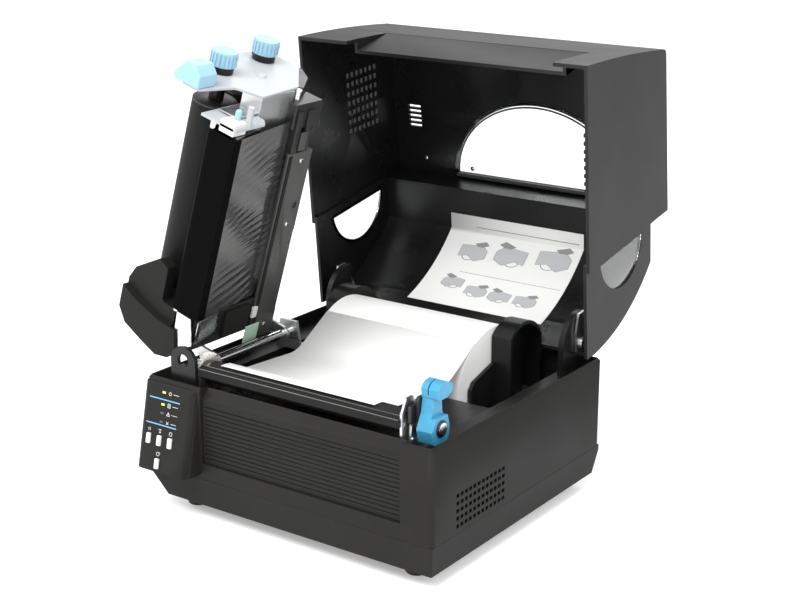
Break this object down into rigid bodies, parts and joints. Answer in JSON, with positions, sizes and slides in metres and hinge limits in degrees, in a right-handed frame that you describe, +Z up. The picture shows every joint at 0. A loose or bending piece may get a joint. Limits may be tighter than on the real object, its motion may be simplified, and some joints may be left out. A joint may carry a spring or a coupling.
{
  "type": "label printer",
  "caption": "Desktop thermal transfer label printer, cover open and print unit raised, with label roll, ribbon spools, geared platen, sliding guides and sloped control panel.",
  "frame": {"origin": "middle of the whole open printer's box, on the desk under it", "axes": "+X to the printer's right as its user sees it, +Y to its back, +Z up"},
  "size_m": [0.3414, 0.3776, 0.3734],
  "materials": {
    "case_plastic": "textured",
    "inner_plastic": "gloss",
    "light_lens": "gloss",
    "circuit_board": "satin",
    "steel_sheet": "satin",
    "bright_steel": "polished",
    "bronze": "satin",
    "motor_black": "satin",
    "zinc_sheet": "satin",
    "rubber": "matte",
    "platen_rubber": "matte",
    "paper": "matte",
    "cardboard": "matte",
    "clear_plastic": "clear",
    "head_ceramic": "satin",
    "ribbon": "gloss",
    "blue_plastic": "satin",
    "gear_plastic": "satin",
    "button_white": "satin"
  },
  "bodies": {
    "base": {"lower_tray": "case_plastic", "upper_case": "case_plastic", "front_door": "case_plastic", "control_panel": "case_plastic", "status_lights": "light_lens", "circuit_boards": "circuit_board", "inner_chassis": "inner_plastic", "frame_plates": "steel_sheet", "fixed_pins": "bright_steel", "platen_bushes": "bronze", "tear_bar": "bright_steel", "drive_motor": "motor_black", "guide_rail": "inner_plastic", "front_bracket": "inner_plastic", "unit_shaft": "bright_steel", "rubber_feet": "rubber", "power_entry": "inner_plastic", "interface_ports": "inner_plastic", "power_supply": "zinc_sheet", "hinge_cheeks": "inner_plastic", "label_web": "paper"},
    "cover": {"cover_hood": "case_plastic", "cover_rear_shell": "case_plastic", "cover_windows": "clear_plastic", "cover_hinges": "steel_sheet", "instruction_sheet": "paper"},
    "print_unit": {"unit_frame": "steel_sheet", "unit_end_plate": "steel_sheet", "unit_housing": "inner_plastic", "head_arm": "steel_sheet", "print_head": "head_ceramic", "ribbon_film": "ribbon", "film_guide_rod": "bright_steel", "sensor_bar": "inner_plastic", "grip_wedge": "blue_plastic"},
    "takeup_spool": {"takeup_roll": "ribbon", "takeup_core": "cardboard", "takeup_spindle": "inner_plastic", "takeup_knob": "blue_plastic"},
    "supply_spool": {"supply_roll": "ribbon", "supply_core": "cardboard", "supply_spindle": "inner_plastic", "supply_knob": "blue_plastic"},
    "platen": {"platen_roller": "platen_rubber", "platen_shaft": "bright_steel", "platen_gear": "gear_plastic"},
    "idler": {"idler_gear": "gear_plastic"},
    "motor_shaft": {"motor_pinion": "bright_steel"},
    "media_roll": {"label_roll": "paper", "roll_core": "cardboard"},
    "guide_right": {"right_media_guide": "inner_plastic"},
    "guide_left": {"left_media_guide": "inner_plastic"},
    "guide_gear": {"guide_pinion": "gear_plastic"},
    "head_lock": {"head_lock_lever": "blue_plastic", "lock_hook": "steel_sheet"},
    "pause": {"pause_button": "button_white"},
    "feed": {"feed_button": "button_white"},
    "stop": {"stop_button": "button_white"},
    "mode": {"mode_button": "button_white"},
    "switch": {"power_switch": "inner_plastic"}
  },
  "joints": [
    {"name": "cover_hinge", "type": "hinge", "parent": "base", "child": "cover", "pos_m": [0.03068, 0.07041, 0.1255], "axis": [1, 0, 0], "range_deg": [0, 12]},
    {"name": "head_lift", "type": "hinge", "parent": "base", "child": "print_unit", "pos_m": [-0.07732, -0.09059, 0.1178], "axis": [0, 1, 0], "range_deg": [0, 73.2]},
    {"name": "takeup_turn", "type": "hinge", "parent": "print_unit", "child": "takeup_spool", "pos_m": [-0.11052, -0.10159, 0.25004], "axis": [0.289, 0, 0.9573], "continuous": true},
    {"name": "supply_turn", "type": "hinge", "parent": "print_unit", "child": "supply_spool", "pos_m": [-0.11626, -0.04359, 0.25177], "axis": [0.289, 0, 0.9573], "continuous": true},
    {"name": "platen_turn", "type": "hinge", "parent": "base", "child": "platen", "pos_m": [0.03368, -0.14259, 0.1166], "axis": [1, 0, 0], "continuous": true},
    {"name": "idler_turn", "type": "hinge", "parent": "base", "child": "idler", "pos_m": [-0.06812, -0.12859, 0.08783], "axis": [1, 0, 0], "continuous": true},
    {"name": "motor_turn", "type": "hinge", "parent": "base", "child": "motor_shaft", "pos_m": [-0.06812, -0.13159, 0.062], "axis": [1, 0, 0], "continuous": true},
    {"name": "roll_turn", "type": "hinge", "parent": "base", "child": "media_roll", "pos_m": [0.02768, 0.01541, 0.0905], "axis": [1, 0, 0], "continuous": true},
    {"name": "guide_right_slide", "type": "slide", "parent": "base", "child": "guide_right", "axis": [1, 0, 0], "range_m": [0, 0.013]},
    {"name": "guide_left_slide", "type": "slide", "parent": "base", "child": "guide_left", "axis": [1, 0, 0], "range_m": [-0.013, 0]},
    {"name": "guide_gear_turn", "type": "hinge", "parent": "base", "child": "guide_gear", "pos_m": [0.02768, 0.03441, 0.021], "axis": [0, 0, 1], "range_deg": [-94, 0]},
    {"name": "head_lock_turn", "type": "hinge", "parent": "base", "child": "head_lock", "pos_m": [0.14768, -0.14059, 0.117], "axis": [-1, 0, 0], "range_deg": [0, 15]},
    {"name": "pause_press", "type": "slide", "parent": "base", "child": "pause", "axis": [0, 0.9784, -0.2067], "range_m": [0, 0.001], "stiffness_N_per_m": 600, "springref_m": -0.0005},
    {"name": "feed_press", "type": "slide", "parent": "base", "child": "feed", "axis": [0, 0.9784, -0.2067], "range_m": [0, 0.001], "stiffness_N_per_m": 600, "springref_m": -0.0005},
    {"name": "stop_press", "type": "slide", "parent": "base", "child": "stop", "axis": [0, 0.9784, -0.2067], "range_m": [0, 0.001], "stiffness_N_per_m": 600, "springref_m": -0.0005},
    {"name": "mode_press", "type": "slide", "parent": "base", "child": "mode", "axis": [0, 0.9784, -0.2067], "range_m": [0, 0.001], "stiffness_N_per_m": 600, "springref_m": -0.0005},
    {"name": "switch_rock", "type": "hinge", "parent": "base", "child": "switch", "pos_m": [-0.03832, 0.07541, 0.0485], "axis": [-1, 0, 0], "range_deg": [0, 16]}
  ],
  "couplings": [
    {"joint": "idler_turn", "follows": "platen_turn", "ratio": -0.77778},
    {"joint": "motor_turn", "follows": "platen_turn", "ratio": 1.75},
    {"joint": "guide_left_slide", "follows": "guide_right_slide", "ratio": -1},
    {"joint": "guide_gear_turn", "follows": "guide_right_slide", "rad_per_m": -125}
  ]
}
